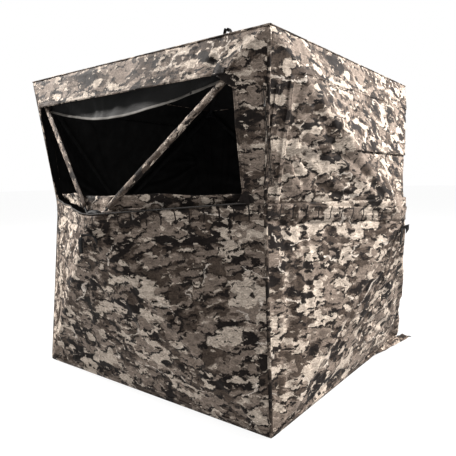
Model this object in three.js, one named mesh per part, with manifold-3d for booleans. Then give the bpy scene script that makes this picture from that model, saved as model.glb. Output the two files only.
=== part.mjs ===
// Pop up ground blind: four cloth walls and a roof, each pushed out by a hub and four sprung rods.
// Millimetres, +Z up. The origin is on the ground under the middle of the blind. The front wall
// faces -Y, and the right, back and left walls follow it counter-clockwise seen from above.
import * as THREE from "three";
import { mergeVertices } from "three/addons/utils/BufferGeometryUtils.js";
import Module from "manifold-3d";

const wasm = await Module();
wasm.setup();

// The cabin: a square on the ground, a slightly larger square at the eaves
const FOOT = 736.6;
const EAVE = 754;
const EAVE_Z = 1540;
const EDGE_BOW = 58;
const CLOTH = 2;
const SEAM_GAP = 0.25;
const LAYER_GAP = 0.3;

// Each face is a low pyramid whose tip is cut flat over its hub
const WALL_CAP = 992;
const WALL_TIP = 1005;
const HUB_Z = 815;
const ROOF_CAP = 1795;
const ROOF_TIP = 1812;
const RING_STEPS = 4;
const EDGE_STEPS = 6;

// Rods: 9 mm fibreglass, a ball tip in the corner's cup, a plain ferrule in the hub's channel
const ROD_R = 4.5;
const FERRULE_R = 5.2;
const FERRULE_LENGTH = 38;
const BALL_R = 7.5;
const ROD_SIDES = 8;
const CORNER_SETBACK = 40;
const WALL_BALL_DEPTH = 14;
const ROOF_BALL_SETBACK = 42;
const ROOF_BALL_DROP = 12;

// Hubs: two plates with four open channels between them, so that the rods can swing and slide
const HUB_PLATE = 4;
const WALL_HUB = { radius: 66, rodEnd: 54, channelEnd: 19, halfGap: 9, boss: 26, level: WALL_CAP - 30 };
const ROOF_HUB = { radius: 74, rodEnd: 60, channelEnd: 22, halfGap: 10.5, boss: 23.5, level: ROOF_CAP - 26 };
const HUB_BEVEL = 9;
const BOSS_R = 30;
const CHANNEL_HALF = 6.6;

// Corner connectors
const CUP_R = 12.5;
const CUP_BORE = 8.6;
const CUP_MOUTH = [6.6, 11];
const CUP_REACH = 26;

// Window: the cloth is cut away between the eave band and the belt
const WINDOW_LEFT = -640;
const WINDOW_RIGHT = 615;
const WINDOW_TOP = 1385;
// The open front window reaches further towards its left corner
const OPEN_LEFT = { top: -684, sill: -648 };
const BELT_MID_TOP = 855;
const BELT_RISE = 52;
const BELT_MID_BOTTOM = 802;
const BELT_BOTTOM_RISE = 45;
const BELT_END = 686;
const BELT_THICK = 1.5;
const SILL_GAP = 6;
const SHUT_SILL = 904;
const OVERLAP_Z = 1120;
const WINDOW_LAP = 22;
const CURTAIN_DEPTH = 40;
const CURTAIN_THICK = 1.5;
const MESH_THICK = 1.5;
const CURTAIN_TOP = 942;

// Pull straps over the hubs: a wall's hangs below its hub with one leg longer
const WALL_STRAP = { span: 110, rise: 24, leg: 60, width: 22, drop: 62 };
const ROOF_STRAP = { span: 46, rise: 38, leg: -4, width: 22 };

// Door in the side facet of the back wall
const DOOR = { hinge: 620, free: 420, top: [1370, 1135], bottom: [165, 455] };
const DOOR_LAP = 12;
const TAPE = 18;

const WALLS = ["front", "right", "back", "left"];
const CORNERS = ["front_right", "back_right", "back_left", "front_left"];

const blind = new THREE.Group();
blind.name = "pop_up_ground_blind";

// ---- materials ---------------------------------------------------------------------------

function finish(color, roughness, metalness = 0) {
  return new THREE.MeshStandardMaterial({ color, roughness, metalness });
}
const camo = () => finish(0x9c8f86, 0.85);
const blackCloth = () => finish(0x161514, 0.9);
const webbing = () => finish(0x1c1b1b, 0.8);
const plastic = () => finish(0x202022, 0.55);
const fibreglass = () => finish(0x2a2a2c, 0.4);
const zinc = () => finish(0x6d6b66, 0.35, 0.9);

// ---- solids ------------------------------------------------------------------------------

function toSolid(geometry) {
  const bare = geometry.clone();
  bare.deleteAttribute("normal");
  bare.deleteAttribute("uv");
  const merged = mergeVertices(bare, 1e-4);
  return new wasm.Manifold(
    new wasm.Mesh({
      numProp: 3,
      vertProperties: new Float32Array(merged.attributes.position.array),
      triVerts: new Uint32Array(merged.index.array),
    }),
  );
}

function fromSolid(solid) {
  const mesh = solid.getMesh();
  const geometry = new THREE.BufferGeometry();
  geometry.setAttribute("position", new THREE.BufferAttribute(mesh.vertProperties, 3));
  geometry.setIndex(new THREE.BufferAttribute(mesh.triVerts, 1));
  geometry.computeVertexNormals();
  return geometry;
}

function joined(geometries) {
  return geometries.map(toSolid).reduce((all, next) => all.add(next));
}

function add(name, geometry, material, parent = blind) {
  const mesh = new THREE.Mesh(geometry, material);
  mesh.name = name;
  parent.add(mesh);
  return mesh;
}

// ---- the shape of a wall, in its own frame: a along it, out from the middle, z up ----------

function halfWidth(z) {
  const share = z / EAVE_Z;
  return FOOT + (EAVE - FOOT) * share - EDGE_BOW * 4 * share * (1 - share);
}

function sideOut(a, z) {
  let share = Math.abs(a) / halfWidth(z);
  for (let step = 0; step < 12; step += 1) {
    const edgeZ = HUB_Z + (z - HUB_Z) / Math.max(share, 0.02);
    share = Math.abs(a) / halfWidth(THREE.MathUtils.clamp(edgeZ, 0, EAVE_Z));
  }
  const edgeZ = THREE.MathUtils.clamp(HUB_Z + (z - HUB_Z) / Math.max(share, 0.02), 0, EAVE_Z);
  return share * halfWidth(edgeZ) + (1 - share) * WALL_TIP;
}

function outAt(a, z) {
  const up = (z - HUB_Z) / (EAVE_Z - HUB_Z);
  const down = (HUB_Z - z) / HUB_Z;
  const top = up * EAVE + (1 - up) * WALL_TIP;
  const bottom = down * FOOT + (1 - down) * WALL_TIP;
  return Math.min(WALL_CAP, sideOut(a, z), z > HUB_Z ? top : bottom);
}

const wallPoint = (a, out, z) => [a, -out, z];

// The wall's outline, corner by corner: bottom, right edge, top, left edge
function wallOutline() {
  const outline = [];
  const steps = [...Array(EDGE_STEPS).keys()].map((i) => i / EDGE_STEPS);
  steps.forEach((s) => outline.push([FOOT * (2 * s - 1), FOOT, 0]));
  steps.forEach((s) => outline.push([halfWidth(s * EAVE_Z), halfWidth(s * EAVE_Z), s * EAVE_Z]));
  steps.forEach((s) => outline.push([EAVE * (1 - 2 * s), EAVE, EAVE_Z]));
  steps.forEach((s) => {
    const z = (1 - s) * EAVE_Z;
    outline.push([-halfWidth(z), halfWidth(z), z]);
  });
  return outline;
}

// A pyramid skin: rings from the outline to the cap, outer and inner, closed at the middle.
// depth sets it behind the outer surface, or in front of it if negative
function pyramidSkin(outline, tip, cap, place, depth = 0, thick = CLOTH) {
  const count = outline.length;
  const points = [];
  for (const inset of [depth, depth + thick]) {
    const shrink = 1 - (inset + SEAM_GAP) / EAVE;
    for (let ring = 0; ring <= RING_STEPS; ring += 1) {
      for (const [a, out, b] of outline) {
        const capShare = (tip.out - cap) / (tip.out - out);
        const t = ((1 - capShare) * ring) / RING_STEPS;
        points.push(place((1 - t) * a * shrink, (1 - t) * out + t * tip.out - inset, (1 - t) * b + t * tip.b));
      }
    }
    points.push(place(0, cap - inset, tip.b));
  }
  const side = (RING_STEPS + 1) * count + 1;
  const middle = RING_STEPS * count;
  const faces = [];
  for (let i = 0; i < count; i += 1) {
    const j = (i + 1) % count;
    for (let ring = 0; ring < middle; ring += count) {
      const [p, q, r, s] = [ring + i, ring + j, ring + count + j, ring + count + i];
      faces.push(p, q, r, p, r, s);
      faces.push(side + p, side + r, side + q, side + p, side + s, side + r);
    }
    faces.push(middle + i, middle + j, side - 1);
    faces.push(side + middle + j, side + middle + i, 2 * side - 1);
    faces.push(i, side + i, side + j, i, side + j, j);
  }
  const geometry = new THREE.BufferGeometry();
  geometry.setAttribute("position", new THREE.Float32BufferAttribute(points.flat(), 3));
  geometry.setIndex(faces);
  return geometry;
}

const beltTop = (a) => BELT_MID_TOP + (BELT_RISE * Math.abs(a)) / 695;
const beltBottom = (a) => BELT_MID_BOTTOM + (BELT_BOTTOM_RISE * Math.abs(a)) / 695;
const sill = (a) => beltTop(a) + SILL_GAP;

// A straight prism through the wall over an outline drawn in (a, z)
function wallPrism(points) {
  const shape = new THREE.Shape(points.map(([a, z]) => new THREE.Vector2(a, z)));
  const prism = new THREE.ExtrudeGeometry(shape, { depth: 500, bevelEnabled: false });
  prism.rotateX(Math.PI / 2);
  prism.translate(0, -550, 0);
  return prism;
}

// The whole wall surface, and the part of it inside an outline drawn in (a, z)
function wallSurface(depth, thick) {
  return toSolid(pyramidSkin(wallOutline(), { out: WALL_TIP, b: HUB_Z }, WALL_CAP, wallPoint, depth, thick));
}

function wallLayer(outline, depth, thick) {
  return wallSurface(depth, thick).intersect(toSolid(wallPrism(outline)));
}

// The open front window reaches down to its belt; the shut ones stop above the hub
function windowOutline(open) {
  const low = (a) => (open ? sill(a) : SHUT_SILL);
  const [left, leftLow] = open ? [OPEN_LEFT.top, OPEN_LEFT.sill] : [WINDOW_LEFT, WINDOW_LEFT];
  return [
    [leftLow, low(leftLow)],
    [0, low(0)],
    [WINDOW_RIGHT, low(WINDOW_RIGHT)],
    [WINDOW_RIGHT, WINDOW_TOP - 20],
    [WINDOW_RIGHT - 20, WINDOW_TOP],
    [left + 20, WINDOW_TOP],
    [left, WINDOW_TOP - 20],
  ];
}

function doorOutline(grow) {
  return [
    [DOOR.free - grow, DOOR.bottom[1] - grow],
    [DOOR.hinge + grow, DOOR.bottom[0] - grow],
    [DOOR.hinge + grow, DOOR.top[0] + grow],
    [DOOR.free - grow, DOOR.top[1] + grow],
  ];
}

// ---- walls and roof ------------------------------------------------------------------------

function wallGroup(index) {
  const group = new THREE.Group();
  group.rotation.z = (index * Math.PI) / 2;
  blind.add(group);
  return group;
}

function wallSkin(name) {
  const opening = name === "back" ? doorOutline(0) : windowOutline(name === "front");
  return fromSolid(wallSurface(0, CLOTH).subtract(toSolid(wallPrism(opening))));
}

function makeBelt(group, name) {
  const end = name === "back" ? DOOR.free - 40 : BELT_END;
  const outline = [
    [-BELT_END, beltBottom(BELT_END)],
    [0, beltBottom(0)],
    [end, beltBottom(end)],
    [end, beltTop(end)],
    [0, beltTop(0)],
    [-BELT_END, beltTop(BELT_END)],
  ];
  const belt = wallLayer(outline, -LAYER_GAP - BELT_THICK, BELT_THICK);
  add(`${name}_belt`, fromSolid(belt), webbing(), group);
}

// The open front window: its curtain let down onto the sill, its mesh slack under the eave band
function makeFrontWindow(group) {
  const lift = 4;
  const curtain = [
    [-610, sill(610) + lift],
    [0, sill(0) + lift],
    [600, sill(600) + lift],
    [600, CURTAIN_TOP],
    [-610, CURTAIN_TOP],
  ];
  add("front_window_curtain", fromSolid(wallLayer(curtain, CURTAIN_DEPTH, CLOTH)), camo(), group);
  const mesh = [
    [-590, 1350],
    [-330, 1290],
    [-60, 1262],
    [220, 1290],
    [590, 1372],
    [590, 1408],
    [-590, 1408],
  ];
  add("front_window_mesh", fromSolid(wallLayer(mesh, CURTAIN_DEPTH, MESH_THICK)), blackCloth(), group);
}

function closedCurtain(group, name, low, high, depth) {
  const [left, right] = [WINDOW_LEFT - WINDOW_LAP, WINDOW_RIGHT + WINDOW_LAP];
  const curtain = wallLayer([[left, low], [right, low], [right, high], [left, high]], depth, CURTAIN_THICK);
  add(name, fromSolid(curtain), camo(), group);
}

// The right window is shut by two curtains that overlap, and the left one by a single curtain
function makeClosedWindow(group, name) {
  const bottom = SHUT_SILL - 18;
  const top = WINDOW_TOP + WINDOW_LAP;
  const depths = [CLOTH + 1.5, CLOTH + 4];
  if (name === "left") {
    closedCurtain(group, "left_window_curtain", bottom, top, depths[0]);
    return;
  }
  closedCurtain(group, "right_window_upper_curtain", OVERLAP_Z - 20, top, depths[0]);
  closedCurtain(group, "right_window_lower_curtain", bottom, OVERLAP_Z + 10, depths[1]);
}

function makeDoor(group) {
  add("door_panel", fromSolid(wallLayer(doorOutline(DOOR_LAP), CLOTH + 1.5, CLOTH)), camo(), group);
  // the zip runs round the free edge and leaves the hinge side bare
  const ring = wallLayer(doorOutline(TAPE), -LAYER_GAP - BELT_THICK, BELT_THICK);
  const hingeSide = [
    [DOOR.hinge - TAPE, 0],
    [DOOR.hinge + 2 * TAPE, 0],
    [DOOR.hinge + 2 * TAPE, EAVE_Z],
    [DOOR.hinge - TAPE, EAVE_Z],
  ];
  const tape = ring.subtract(toSolid(wallPrism(doorOutline(0)))).subtract(toSolid(wallPrism(hingeSide)));
  add("door_zip_tape", fromSolid(tape), webbing(), group);
}

// A zip slider: a body with a hanging pull, its back towards +Y
function zipSlider() {
  const body = new THREE.BoxGeometry(11, 4, 15);
  const pull = new THREE.BoxGeometry(6, 2, 34);
  pull.translate(0, -2.5, -20);
  return fromSolid(joined([body, pull]));
}

// A short webbing pull: an arch that leaves the hub's cap and hangs to one side
function pullStrap({ span, rise, leg, width }) {
  const thick = 3;
  const arch = new THREE.Shape();
  arch.moveTo(span / 2, 0);
  arch.quadraticCurveTo(span / 2, rise, 0, rise);
  arch.quadraticCurveTo(-span / 2, rise, -span / 2, -leg);
  arch.lineTo(-span / 2 + thick, -leg);
  arch.quadraticCurveTo(-span / 2 + thick, rise - thick, 0, rise - thick);
  arch.quadraticCurveTo(span / 2 - thick, rise - thick, span / 2 - thick, 0);
  return new THREE.ExtrudeGeometry(arch, { depth: width, bevelEnabled: false, curveSegments: 4 });
}

// ---- rods, hubs and corners ------------------------------------------------------------------

// A rod along +Y from the centre of its ball
function rodGeometry(length) {
  const profile = [new THREE.Vector2(0, -BALL_R)];
  [-50, -10, 30].forEach((deg) => {
    const angle = THREE.MathUtils.degToRad(deg);
    profile.push(new THREE.Vector2(BALL_R * Math.cos(angle), BALL_R * Math.sin(angle)));
  });
  const neck = Math.sqrt(BALL_R ** 2 - ROD_R ** 2);
  profile.push(new THREE.Vector2(ROD_R, neck));
  profile.push(new THREE.Vector2(ROD_R, length - FERRULE_LENGTH));
  profile.push(new THREE.Vector2(FERRULE_R, length - FERRULE_LENGTH));
  profile.push(new THREE.Vector2(FERRULE_R, length - 2));
  profile.push(new THREE.Vector2(FERRULE_R - 2, length));
  profile.push(new THREE.Vector2(0, length));
  return new THREE.LatheGeometry(profile, ROD_SIDES);
}

function makeRod(name, ball, end) {
  const along = new THREE.Vector3().subVectors(end, ball);
  const rod = add(name, rodGeometry(along.length()), fibreglass());
  rod.position.copy(ball);
  rod.quaternion.setFromUnitVectors(new THREE.Vector3(0, 1, 0), along.normalize());
  return { ball, along };
}

// A hub lying in its own XY plane, outward side +Z, with a channel along each given direction
function hubGeometry(hub, directions) {
  const face = hub.halfGap + HUB_PLATE;
  const profile = [
    [0, -face],
    [hub.radius, -face],
    [hub.radius, hub.halfGap],
    [hub.radius - HUB_BEVEL, face],
    [BOSS_R, face],
    [BOSS_R, hub.boss],
    [0, hub.boss],
  ];
  const disc = new THREE.LatheGeometry(profile.map(([r, h]) => new THREE.Vector2(r, h)), 16);
  disc.rotateX(Math.PI / 2);
  let solid = toSolid(disc);
  for (const [x, y] of directions) {
    const channel = new THREE.BoxGeometry(hub.radius, 2 * CHANNEL_HALF, 2 * hub.halfGap);
    channel.translate(hub.radius / 2 + hub.channelEnd, 0, 0);
    channel.rotateZ(Math.atan2(y, x));
    solid = solid.subtract(toSolid(channel));
  }
  return fromSolid(solid);
}

// A cup's open bore: the ball's seat and a mouth that widens along the rod
function cupBore({ ball, along }) {
  const mouth = new THREE.CylinderGeometry(CUP_MOUTH[1], CUP_MOUTH[0], CUP_REACH - 4, 8);
  mouth.translate(0, 4 + (CUP_REACH - 4) / 2, 0);
  mouth.applyQuaternion(new THREE.Quaternion().setFromUnitVectors(new THREE.Vector3(0, 1, 0), along));
  const seat = new THREE.SphereGeometry(CUP_BORE, 8, 6);
  return [seat, mouth].map((piece) => piece.translate(ball.x, ball.y, ball.z));
}

// The mouth is aimed at the middle of the rod's swing, which lies in the face's own plane
function flatAlong(along, normal) {
  return along.clone().addScaledVector(normal, -along.dot(normal)).normalize();
}

function cornerGeometry(rods, block) {
  const cups = rods.map(({ ball }) => {
    const cup = new THREE.SphereGeometry(CUP_R, 8, 6);
    cup.translate(ball.x, ball.y, ball.z);
    return cup;
  });
  let solid = joined([...cups, block]);
  rods.flatMap(cupBore).forEach((bore) => {
    solid = solid.subtract(toSolid(bore));
  });
  return fromSolid(solid);
}

// ---- assembly --------------------------------------------------------------------------------

const cornerRods = Object.fromEntries(
  CORNERS.flatMap((corner) => [[`top_${corner}`, []], [`foot_${corner}`, []]]),
);

function turned(point, index) {
  return point.applyAxisAngle(new THREE.Vector3(0, 0, 1), (index * Math.PI) / 2);
}

function makeWall(name, index) {
  const group = wallGroup(index);
  add(`${name}_wall`, wallSkin(name), camo(), group);
  makeBelt(group, name);
  if (name === "front") {
    makeFrontWindow(group);
  } else if (name === "back") {
    makeDoor(group);
  } else {
    makeClosedWindow(group, name);
  }

  const tops = { z: EAVE_Z - CORNER_SETBACK, a: EAVE - CORNER_SETBACK, out: EAVE - WALL_BALL_DEPTH };
  const feet = { z: CORNER_SETBACK, a: FOOT - CORNER_SETBACK, out: FOOT - WALL_BALL_DEPTH };
  const normal = turned(new THREE.Vector3(0, -1, 0), index);
  const directions = [];
  for (const [level, spot] of [["upper", tops], ["lower", feet]]) {
    for (const [sideName, side] of [["left", -1], ["right", 1]]) {
      const toCorner = new THREE.Vector2(side * spot.a, spot.z - HUB_Z).normalize();
      directions.push([toCorner.x, toCorner.y]);
      const ball = new THREE.Vector3(side * spot.a, -spot.out, spot.z);
      const end = new THREE.Vector3(
        toCorner.x * WALL_HUB.rodEnd,
        -WALL_HUB.level,
        HUB_Z + toCorner.y * WALL_HUB.rodEnd,
      );
      const rod = makeRod(`${name}_rod_${level}_${sideName}`, turned(ball, index), turned(end, index));
      const corner = CORNERS[side > 0 ? index : (index + 3) % 4];
      const place = level === "upper" ? `top_${corner}` : `foot_${corner}`;
      cornerRods[place].push({ ball: rod.ball, along: flatAlong(rod.along, normal) });
    }
  }

  const hub = add(`${name}_hub`, hubGeometry(WALL_HUB, directions), plastic(), group);
  hub.rotation.x = Math.PI / 2;
  hub.position.set(0, -WALL_HUB.level, HUB_Z);
  const strap = add(`${name}_pull_strap`, pullStrap(WALL_STRAP), webbing(), group);
  strap.rotation.x = Math.PI / 2;
  strap.position.set(4, -WALL_CAP - 3, HUB_Z - WALL_STRAP.drop);
}

function makeRoof() {
  const edge = EAVE_Z + LAYER_GAP + CLOTH;
  const steps = [...Array(EDGE_STEPS).keys()].map((i) => (2 * i) / EDGE_STEPS - 1);
  const sides = [[1, 0], [0, 1], [-1, 0], [0, -1]];
  const outline = sides.flatMap(([x, y]) => steps.map((s) => [EAVE * (x * s + y), edge, EAVE * (y * s - x)]));
  const place = (a, out, b) => [a, b * (1 - SEAM_GAP / EAVE), out];
  const skin = pyramidSkin(outline, { out: ROOF_TIP, b: 0 }, ROOF_CAP, place);
  add("roof", skin, camo());

  const directions = [];
  const reach = EAVE - ROOF_BALL_SETBACK;
  CORNERS.forEach((corner, index) => {
    const toCorner = turned(new THREE.Vector3(Math.SQRT1_2, -Math.SQRT1_2, 0), index);
    directions.push([toCorner.x, toCorner.y]);
    const ball = toCorner.clone().multiplyScalar(reach * Math.SQRT2).setZ(EAVE_Z - ROOF_BALL_DROP);
    const end = toCorner.clone().multiplyScalar(ROOF_HUB.rodEnd).setZ(ROOF_HUB.level);
    const rod = makeRod(`roof_rod_${corner}`, ball, end);
    const along = flatAlong(rod.along, new THREE.Vector3(0, 0, 1));
    cornerRods[`top_${corner}`].push({ ball: rod.ball, along });
  });
  const hub = add("roof_hub", hubGeometry(ROOF_HUB, directions), plastic());
  hub.position.set(0, 0, ROOF_HUB.level);
  const strap = add("roof_pull_strap", pullStrap(ROOF_STRAP), webbing());
  strap.rotation.x = Math.PI / 2;
  strap.position.set(0, ROOF_STRAP.width / 2, ROOF_CAP + LAYER_GAP);
}

function makeCorners() {
  const blockSize = 34;
  CORNERS.forEach((corner, index) => {
    const top = new THREE.BoxGeometry(blockSize, blockSize, 26);
    const topPlace = turned(new THREE.Vector3(EAVE - 31, -(EAVE - 31), EAVE_Z - 35), index);
    top.translate(topPlace.x, topPlace.y, topPlace.z);
    add(`corner_top_${corner}`, cornerGeometry(cornerRods[`top_${corner}`], top), plastic());
    const foot = new THREE.BoxGeometry(blockSize, blockSize, 52);
    const footPlace = turned(new THREE.Vector3(FOOT - 28, -(FOOT - 28), 26), index);
    foot.translate(footPlace.x, footPlace.y, footPlace.z);
    add(`corner_foot_${corner}`, cornerGeometry(cornerRods[`foot_${corner}`], foot), plastic());
  });
}

// A flat webbing loop by each foot for a ground stake
function makeStakeLoops() {
  CORNERS.forEach((corner, index) => {
    const outer = new THREE.Shape();
    outer.absellipse(0, 0, 36, 22, 0, 2 * Math.PI);
    const hole = new THREE.Path();
    hole.absellipse(0, 0, 24, 11, 0, 2 * Math.PI, true);
    outer.holes.push(hole);
    const ring = new THREE.ExtrudeGeometry(outer, { depth: 3, bevelEnabled: false, curveSegments: 8 });
    const loop = add(`stake_loop_${corner}`, ring, webbing());
    loop.rotation.z = (index * Math.PI) / 2 - Math.PI / 4;
    const outside = corner === "back_right";
    const away = (outside ? FOOT + 27 : FOOT - 78) * Math.SQRT2;
    loop.position.copy(turned(new THREE.Vector3(Math.SQRT1_2, -Math.SQRT1_2, 0), index).multiplyScalar(away));
    loop.position.z = 0.5;
  });
}

// The corner zip beside the front window, and the door's zip
function makeSliders() {
  const windowSlider = add("window_zip_slider", zipSlider(), zinc());
  windowSlider.position.set(716, -outAt(716, 1300) - 8, 1300);
  const doorSlider = add("door_zip_slider", zipSlider(), zinc(), wallGroup(2));
  const zipA = DOOR.free - TAPE / 2;
  const zipTop = DOOR.top[1] - 25;
  doorSlider.position.set(zipA, -outAt(zipA, zipTop) - 11, zipTop);
}

WALLS.forEach(makeWall);
makeRoof();
makeCorners();
makeStakeLoops();
makeSliders();

export default blind;
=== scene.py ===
"""Pop up ground blind: cloth walls and roof over hubs and sprung rods. Metres, in the frame's own axes."""
import math

import bpy
import numpy as np
from mathutils import Matrix, Vector


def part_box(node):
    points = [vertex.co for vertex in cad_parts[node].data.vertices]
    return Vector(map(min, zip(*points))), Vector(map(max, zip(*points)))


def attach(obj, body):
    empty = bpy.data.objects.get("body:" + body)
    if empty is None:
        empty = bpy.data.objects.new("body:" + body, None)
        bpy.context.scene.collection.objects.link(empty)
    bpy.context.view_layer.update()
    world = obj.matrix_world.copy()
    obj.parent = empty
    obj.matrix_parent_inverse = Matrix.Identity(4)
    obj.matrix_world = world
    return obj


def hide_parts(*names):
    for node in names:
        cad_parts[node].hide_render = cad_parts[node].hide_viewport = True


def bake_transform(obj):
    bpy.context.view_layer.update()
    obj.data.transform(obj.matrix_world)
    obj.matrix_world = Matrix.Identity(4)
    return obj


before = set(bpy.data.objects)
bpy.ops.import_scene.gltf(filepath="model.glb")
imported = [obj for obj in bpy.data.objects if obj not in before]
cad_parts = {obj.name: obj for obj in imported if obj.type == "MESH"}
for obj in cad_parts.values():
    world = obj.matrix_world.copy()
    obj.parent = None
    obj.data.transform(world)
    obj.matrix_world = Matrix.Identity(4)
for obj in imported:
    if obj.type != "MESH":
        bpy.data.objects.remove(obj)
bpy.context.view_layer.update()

# ---- driving sizes, as the frame has them ---------------------------------------------------
WALL_LOW, WALL_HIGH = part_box("front_wall")
HUB_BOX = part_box("front_hub")
EAVE = WALL_HIGH.x
EAVE_Z = WALL_HIGH.z
FOOT = 0.7366
PINCH = 0.062
PINCH_AT = 0.565
WALL_CAP = -WALL_LOW.y
WALL_TIP = WALL_CAP + 0.013
HUB_Z = (HUB_BOX[0].z + HUB_BOX[1].z) / 2
ROOF_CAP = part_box("roof")[1].z
ROOF_TIP = ROOF_CAP + 0.017
ROOF_EDGE = EAVE_Z + 0.0023
HUB_LEVEL = WALL_CAP - 0.030
ROD_END = 0.054
ROOF_HUB_LEVEL = ROOF_CAP - 0.026
ROOF_ROD_END = 0.060
CREASE = 0.010
CLOTH = 0.0014
LAYER = 0.0005
BACKING = 0.0009
NET_DEPTH = 0.042
HEM_DEPTH = 0.040
DROPPED_DEPTH = 0.040
ROLL_DEPTH = 0.020
GUSSET_DEPTH = 0.0025
GUARD_DEPTH = 0.0022
DOOR_DEPTH = 0.0040
DOOR_OVERLAP = 0.012
DOOR_HINGE_INSET = 0.029
GUARD_HOLE_OVERLAP = 0.004
GUARD_HINGE_INSET = 0.040
DOOR_FOOT_SLOPE = 1.450
DOOR_HEAD_SLOPE = 1.175
WALLS = ["front", "right", "back", "left"]
CORNERS = ["front_right", "back_right", "back_left", "front_left"]
WINDOW = {"left": -0.640, "right": 0.615, "top": 1.385}
OPEN_LEFT = {"top": -0.684, "sill": -0.648}
SHUT_SILL = 0.904


# ---- noise ------------------------------------------------------------------------------------
LATTICE = np.random.default_rng(11).random((8, 256, 256)) * 2 - 1


def noise(x, y, seed=0):
    """Smooth value noise from -1 to 1, one lump per unit."""
    x, y = np.broadcast_arrays(np.asarray(x, float), np.asarray(y, float))
    i, j = np.floor(x).astype(int), np.floor(y).astype(int)
    u, v = x - i, y - j
    u, v = u * u * (3 - 2 * u), v * v * (3 - 2 * v)
    table = LATTICE[seed % 8]
    shift = 37 * (seed // 8)

    def at(p, q):
        return table[(i + p + shift) % 256, (j + q) % 256]

    low = at(0, 0) * (1 - u) + at(1, 0) * u
    high = at(0, 1) * (1 - u) + at(1, 1) * u
    return low * (1 - v) + high * v


def smooth(low, high, x):
    t = np.clip((x - low) / (high - low), 0, 1)
    return t * t * (3 - 2 * t)


def soft_min(p, q, width):
    h = np.clip(0.5 + 0.5 * (q - p) / width, 0, 1)
    return q * (1 - h) + p * h - width * h * (1 - h)


# ---- the wall's shape in its own frame: a along it, out from the middle, z up --------------------
def half_width(z):
    share = np.asarray(z, float) / EAVE_Z
    pinch = soft_min(share / PINCH_AT, (1 - share) / (1 - PINCH_AT), 0.16)
    return FOOT + (EAVE - FOOT) * share - PINCH * pinch


def side_out(a, z):
    share = np.abs(a) / half_width(z)
    for _ in range(12):
        edge_z = np.clip(HUB_Z + (z - HUB_Z) / np.maximum(share, 0.02), 0, EAVE_Z)
        share = np.abs(a) / half_width(edge_z)
    edge_z = np.clip(HUB_Z + (z - HUB_Z) / np.maximum(share, 0.02), 0, EAVE_Z)
    return share * half_width(edge_z) + (1 - share) * WALL_TIP


def plain_out(a, z):
    """How far out the taut wall stands at (a, z)."""
    up = (z - HUB_Z) / (EAVE_Z - HUB_Z)
    down = (HUB_Z - z) / HUB_Z
    top = up * EAVE + (1 - up) * WALL_TIP
    bottom = down * FOOT + (1 - down) * WALL_TIP
    slopes = soft_min(side_out(a, z), np.where(z > HUB_Z, top, bottom), CREASE)
    return soft_min(slopes, np.full_like(slopes, WALL_CAP), 0.006)


def belt_top(a):
    return 0.855 + 0.052 * np.abs(a) / 0.695


def belt_bottom(a):
    return 0.802 + 0.045 * np.abs(a) / 0.695


def fan(a, z, centre, folds, near, far, seed):
    """Tension wrinkles that spread from a point like ribs."""
    dx, dz = a - centre[0], z - centre[1]
    r = np.hypot(dx, dz)
    angle = np.arctan2(dz, dx)
    wander = 0.5 * noise(angle * 3, r * 4, seed + 1)
    ribs = 1 - 2.2 * np.abs(noise(angle * folds + wander, r * 2.2 + seed, seed))
    return ribs * smooth(near * 0.3, near, r) * (1 - smooth(far * 0.55, far, r))


def wrinkles(a, z, index):
    """How far the cloth stands off the taut shape, in metres."""
    seed = 3 * index
    edge = smooth(0, 0.06, half_width(z) - np.abs(a)) * smooth(0, 0.03, z) * smooth(0, 0.02, EAVE_Z - z)
    lumps = 0.0045 * noise(a * 3.1, z * 3.1, seed) + 0.0022 * noise(a * 8, z * 8, seed + 1)
    lower = 1 - smooth(HUB_Z - 0.05, HUB_Z + 0.03, z)
    upper = smooth(HUB_Z + 0.03, HUB_Z + 0.12, z)
    total = lumps
    for side in (-1, 1):
        total = total + 0.0066 * lower * fan(a, z, (side * FOOT, 0), 12, 0.10, 1.15, seed + 2)
        total = total + 0.0030 * upper * fan(a, z, (side * EAVE, EAVE_Z), 10, 0.08, 0.8, seed + 3)
    total = total + 0.0056 * fan(a, z, (0, HUB_Z), 9, 0.10, 1.0, seed + 4)
    # long soft streaks up and down the side facets
    sides = smooth(0.25, 0.55, np.abs(a))
    total = total + 0.0050 * sides * (1 - 2 * np.abs(noise(a * 26, z * 1.6, seed + 5)))
    return total * edge


def wall_out(a, z, index):
    return plain_out(a, z) + wrinkles(a, z, index)


def turn(points, index):
    """Points of the front wall's frame turned to another wall's place."""
    angle = index * math.pi / 2
    c, s = round(math.cos(angle)), round(math.sin(angle))
    x, y, z = points[:, 0], points[:, 1], points[:, 2]
    return np.stack([c * x - s * y, s * x + c * y, z], 1)


# ---- meshes ------------------------------------------------------------------------------------
def make_mesh(name, points, faces, plan=None, trim=None, materials=(), material_index=None):
    mesh = bpy.data.meshes.new(name)
    mesh.from_pydata([tuple(p) for p in points], [], [tuple(int(i) for i in f) for f in faces])
    loops = np.zeros(len(mesh.loops), np.int32)
    mesh.loops.foreach_get("vertex_index", loops)
    for layer_name, values in (("UVMap", plan), ("Trim", trim)):
        if values is not None:
            layer = mesh.uv_layers.new(name=layer_name)
            layer.data.foreach_set("uv", np.asarray(values, float)[loops].ravel())
    for material in materials:
        mesh.materials.append(material)
    if material_index is not None:
        mesh.polygons.foreach_set("material_index", np.asarray(material_index, np.int32))
    mesh.polygons.foreach_set("use_smooth", [True] * len(mesh.polygons))
    mesh.update()
    obj = bpy.data.objects.new(name, mesh)
    bpy.context.scene.collection.objects.link(obj)
    return obj


def grid_faces(rows, columns):
    r, c = np.meshgrid(np.arange(rows - 1), np.arange(columns - 1), indexing="ij")
    start = (r * columns + c).ravel()
    return np.stack([start, start + 1, start + columns + 1, start + columns], 1)


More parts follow.
